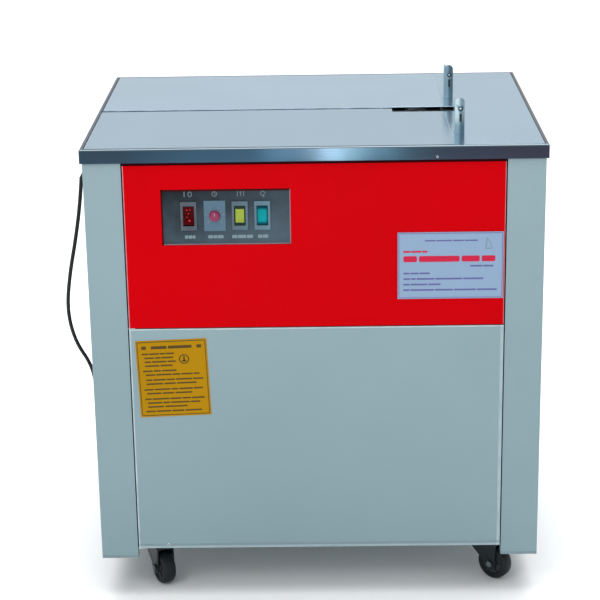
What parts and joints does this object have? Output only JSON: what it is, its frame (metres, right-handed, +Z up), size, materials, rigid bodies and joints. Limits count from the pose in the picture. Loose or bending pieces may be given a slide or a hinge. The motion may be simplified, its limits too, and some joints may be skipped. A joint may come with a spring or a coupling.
{
  "type": "semi automatic strapping machine",
  "caption": "Semi automatic strapping machine: sheet-steel cabinet on swivel casters, stainless table with strap slot, package stops, lifting flaps, doors, sealing head and strap reel inside.",
  "frame": {"origin": "on the floor under the middle of the table", "axes": "+Z up, -Y towards the operator, +X to the right of the operator"},
  "size_m": [0.8032, 0.7215, 0.8535],
  "materials": {
    "cabinet_grey": "satin light blue-grey powder coat",
    "inner_grey": "satin grey paint",
    "panel_red": "gloss red paint",
    "table_steel": "satin stainless",
    "polished_steel": "polished stainless",
    "slate_plate": "satin slate",
    "bezel_silver": "satin silver-grey moulding",
    "rocker_red": "translucent dark red",
    "scale_blue": "light blue printed plate",
    "knob_pink": "pink-red",
    "button_yellow": "yellow-green pad on a dark green cap",
    "button_teal": "teal",
    "info_white": "white face with blue border",
    "label_yellow": "golden yellow film",
    "zinc_steel": "zinc plated",
    "caster_black": "black",
    "wheel_black": "black solid wheel",
    "dark_steel": "hardened, oiled",
    "cast_grey": "grey painted casting",
    "tool_steel": "ground",
    "machined_aluminium": "machined",
    "motor_paint": "blue-grey paint",
    "belt_rubber": "matt black",
    "roller_rubber": "matt black",
    "reel_plastic": "black moulding",
    "board_green": "boards and windings",
    "cord_black": "matt black sheath"
  },
  "bodies": {
    "root": {"base_pan": "inner_grey", "caster_plates": "caster_black", "control_panel": "slate_plate", "cord_coil": "cord_black", "cord_gland": "cord_black", "cord_plug": "cord_black", "cord_tube": "cord_black", "door_hinges": "zinc_steel", "drive_belt": "belt_rubber", "drive_motor": "motor_paint", "electrical_board": "board_green", "feed_time_scale": "scale_blue", "flap_hinges": "zinc_steel", "front_upper_panel": "panel_red", "gearbox": "cast_grey", "head_frame": "cast_grey", "info_plate": "info_white", "left_side_panel": "cabinet_grey", "mid_shelf": "inner_grey", "panel_screws": "zinc_steel", "pool_box": "inner_grey", "rear_upper_panel": "cabinet_grey", "reel_stand": "inner_grey", "right_side_panel": "cabinet_grey", "right_table_plate": "table_steel", "stop_guides": "zinc_steel", "strap_chute": "inner_grey", "switch_bezels": "bezel_silver", "table_rim": "table_steel", "top_frame": "inner_grey"},
    "front_door": {"front_door": "cabinet_grey", "safety_label": "label_yellow"},
    "rear_door": {"rear_door": "cabinet_grey"},
    "front_flap": {"front_flap": "table_steel"},
    "rear_flap": {"rear_flap": "table_steel"},
    "head_cover": {"head_cover": "dark_steel"},
    "front_stop": {"front_stop": "polished_steel"},
    "rear_stop": {"rear_stop": "polished_steel"},
    "power_rocker": {"power_rocker": "rocker_red"},
    "feed_time_knob": {"feed_time_knob": "knob_pink"},
    "feed_button": {"feed_button": "button_yellow"},
    "reset_button": {"reset_button": "button_teal"},
    "left_gripper": {"left_gripper": "tool_steel"},
    "press_anvil": {"press_anvil": "tool_steel"},
    "right_gripper": {"right_gripper": "tool_steel"},
    "heater_arm": {"heater_arm": "tool_steel"},
    "cam_shaft": {"cam_shaft": "tool_steel"},
    "motor_pulley": {"motor_pulley": "machined_aluminium"},
    "gearbox_pulley": {"gearbox_pulley": "machined_aluminium"},
    "feed_roller": {"feed_roller": "roller_rubber"},
    "pinch_roller": {"pinch_roller": "roller_rubber"},
    "strap_reel": {"strap_reel": "reel_plastic"},
    "fork_front_left": {"caster_fork_front_left": "caster_black"},
    "wheel_front_left": {"caster_wheel_front_left": "wheel_black"},
    "fork_front_right": {"caster_fork_front_right": "caster_black"},
    "wheel_front_right": {"caster_wheel_front_right": "wheel_black"},
    "fork_rear_left": {"caster_fork_rear_left": "caster_black"},
    "wheel_rear_left": {"caster_wheel_rear_left": "wheel_black"},
    "fork_rear_right": {"caster_fork_rear_right": "caster_black"},
    "wheel_rear_right": {"caster_wheel_rear_right": "wheel_black"}
  },
  "joints": [
    {"name": "front_door_hinge", "type": "hinge", "parent": "root", "child": "front_door", "pos_m": [-0.3064, -0.2904, 0.09], "axis": [0, 0, -1], "range_deg": [0, 100]},
    {"name": "rear_door_hinge", "type": "hinge", "parent": "root", "child": "rear_door", "pos_m": [0.3064, 0.2904, 0.09], "axis": [0, 0, -1], "range_deg": [0, 100]},
    {"name": "front_flap_hinge", "type": "hinge", "parent": "root", "child": "front_flap", "pos_m": [-0.07275, -0.286, 0.79], "axis": [1, 0, 0], "range_deg": [0, 95]},
    {"name": "rear_flap_hinge", "type": "hinge", "parent": "root", "child": "rear_flap", "pos_m": [-0.07275, 0.286, 0.79], "axis": [-1, 0, 0], "range_deg": [0, 95]},
    {"name": "head_cover_slide", "type": "slide", "parent": "root", "child": "head_cover", "axis": [0, 1, 0], "range_m": [0, 0.022]},
    {"name": "front_stop_slide", "type": "slide", "parent": "root", "child": "front_stop", "axis": [0, 0, -1], "range_m": [0, 0.058]},
    {"name": "rear_stop_slide", "type": "slide", "parent": "root", "child": "rear_stop", "axis": [0, 0, -1], "range_m": [0, 0.058]},
    {"name": "power_rocker_tilt", "type": "hinge", "parent": "root", "child": "power_rocker", "pos_m": [-0.205, -0.284, 0.681], "axis": [1, 0, 0], "range_deg": [0, 16]},
    {"name": "feed_time_turn", "type": "hinge", "parent": "root", "child": "feed_time_knob", "pos_m": [-0.1625, -0.29, 0.681], "axis": [0, -1, 0], "range_deg": [-150, 150]},
    {"name": "feed_button_press", "type": "slide", "parent": "root", "child": "feed_button", "axis": [0, 1, 0], "range_m": [0, 0.003], "stiffness_N_per_m": 300, "springref_m": -0.003},
    {"name": "reset_button_press", "type": "slide", "parent": "root", "child": "reset_button", "axis": [0, 1, 0], "range_m": [0, 0.003], "stiffness_N_per_m": 300, "springref_m": -0.003},
    {"name": "left_gripper_lift", "type": "slide", "parent": "root", "child": "left_gripper", "axis": [0, 0, 1], "range_m": [0, 0.008]},
    {"name": "press_lift", "type": "slide", "parent": "root", "child": "press_anvil", "axis": [0, 0, 1], "range_m": [0, 0.005]},
    {"name": "right_gripper_lift", "type": "slide", "parent": "root", "child": "right_gripper", "axis": [0, 0, 1], "range_m": [0, 0.008]},
    {"name": "heater_slide", "type": "slide", "parent": "root", "child": "heater_arm", "axis": [0, 1, 0], "range_m": [0, 0.03]},
    {"name": "cam_turn", "type": "hinge", "parent": "root", "child": "cam_shaft", "pos_m": [0.192, -0.023, 0.672], "axis": [1, 0, 0], "continuous": true},
    {"name": "gearbox_pulley_spin", "type": "hinge", "parent": "root", "child": "gearbox_pulley", "pos_m": [0.25, 0.105, 0.65], "axis": [1, 0, 0], "continuous": true},
    {"name": "motor_pulley_spin", "type": "hinge", "parent": "root", "child": "motor_pulley", "pos_m": [0.25, 0.16, 0.556], "axis": [1, 0, 0], "continuous": true},
    {"name": "feed_roller_spin", "type": "hinge", "parent": "root", "child": "feed_roller", "pos_m": [0.092, -0.023, 0.705], "axis": [0, 1, 0], "continuous": true},
    {"name": "pinch_roller_spin", "type": "hinge", "parent": "root", "child": "pinch_roller", "pos_m": [0.092, -0.023, 0.7356], "axis": [0, 1, 0], "continuous": true},
    {"name": "reel_spin", "type": "hinge", "parent": "root", "child": "strap_reel", "pos_m": [-0.09, 0, 0.292], "axis": [0, 1, 0], "continuous": true},
    {"name": "swivel_front_left", "type": "hinge", "parent": "root", "child": "fork_front_left", "pos_m": [-0.287, -0.215, 0.075], "axis": [0, 0, 1], "continuous": true},
    {"name": "roll_front_left", "type": "hinge", "parent": "fork_front_left", "child": "wheel_front_left", "pos_m": [-0.27386, -0.23972, 0.03], "axis": [0.8829, 0.4695, 0], "continuous": true},
    {"name": "swivel_front_right", "type": "hinge", "parent": "root", "child": "fork_front_right", "pos_m": [0.287, -0.215, 0.075], "axis": [0, 0, 1], "continuous": true},
    {"name": "roll_front_right", "type": "hinge", "parent": "fork_front_right", "child": "wheel_front_right", "pos_m": [0.30845, -0.233, 0.03], "axis": [0.6428, 0.766, 0], "continuous": true},
    {"name": "swivel_rear_left", "type": "hinge", "parent": "root", "child": "fork_rear_left", "pos_m": [-0.287, 0.215, 0.075], "axis": [0, 0, 1], "continuous": true},
    {"name": "roll_rear_left", "type": "hinge", "parent": "fork_rear_left", "child": "wheel_rear_left", "pos_m": [-0.26406, 0.23106, 0.03], "axis": [-0.5736, 0.8192, 0], "continuous": true},
    {"name": "swivel_rear_right", "type": "hinge", "parent": "root", "child": "fork_rear_right", "pos_m": [0.287, 0.215, 0.075], "axis": [0, 0, 1], "continuous": true},
    {"name": "roll_rear_right", "type": "hinge", "parent": "fork_rear_right", "child": "wheel_rear_right", "pos_m": [0.26275, 0.229, 0.03], "axis": [-0.5, -0.866, 0], "continuous": true}
  ],
  "couplings": [
    {"joint": "motor_pulley_spin", "follows": "gearbox_pulley_spin", "ratio": 2},
    {"joint": "cam_turn", "follows": "gearbox_pulley_spin", "ratio": 0.05},
    {"joint": "pinch_roller_spin", "follows": "feed_roller_spin", "ratio": -1.5}
  ]
}
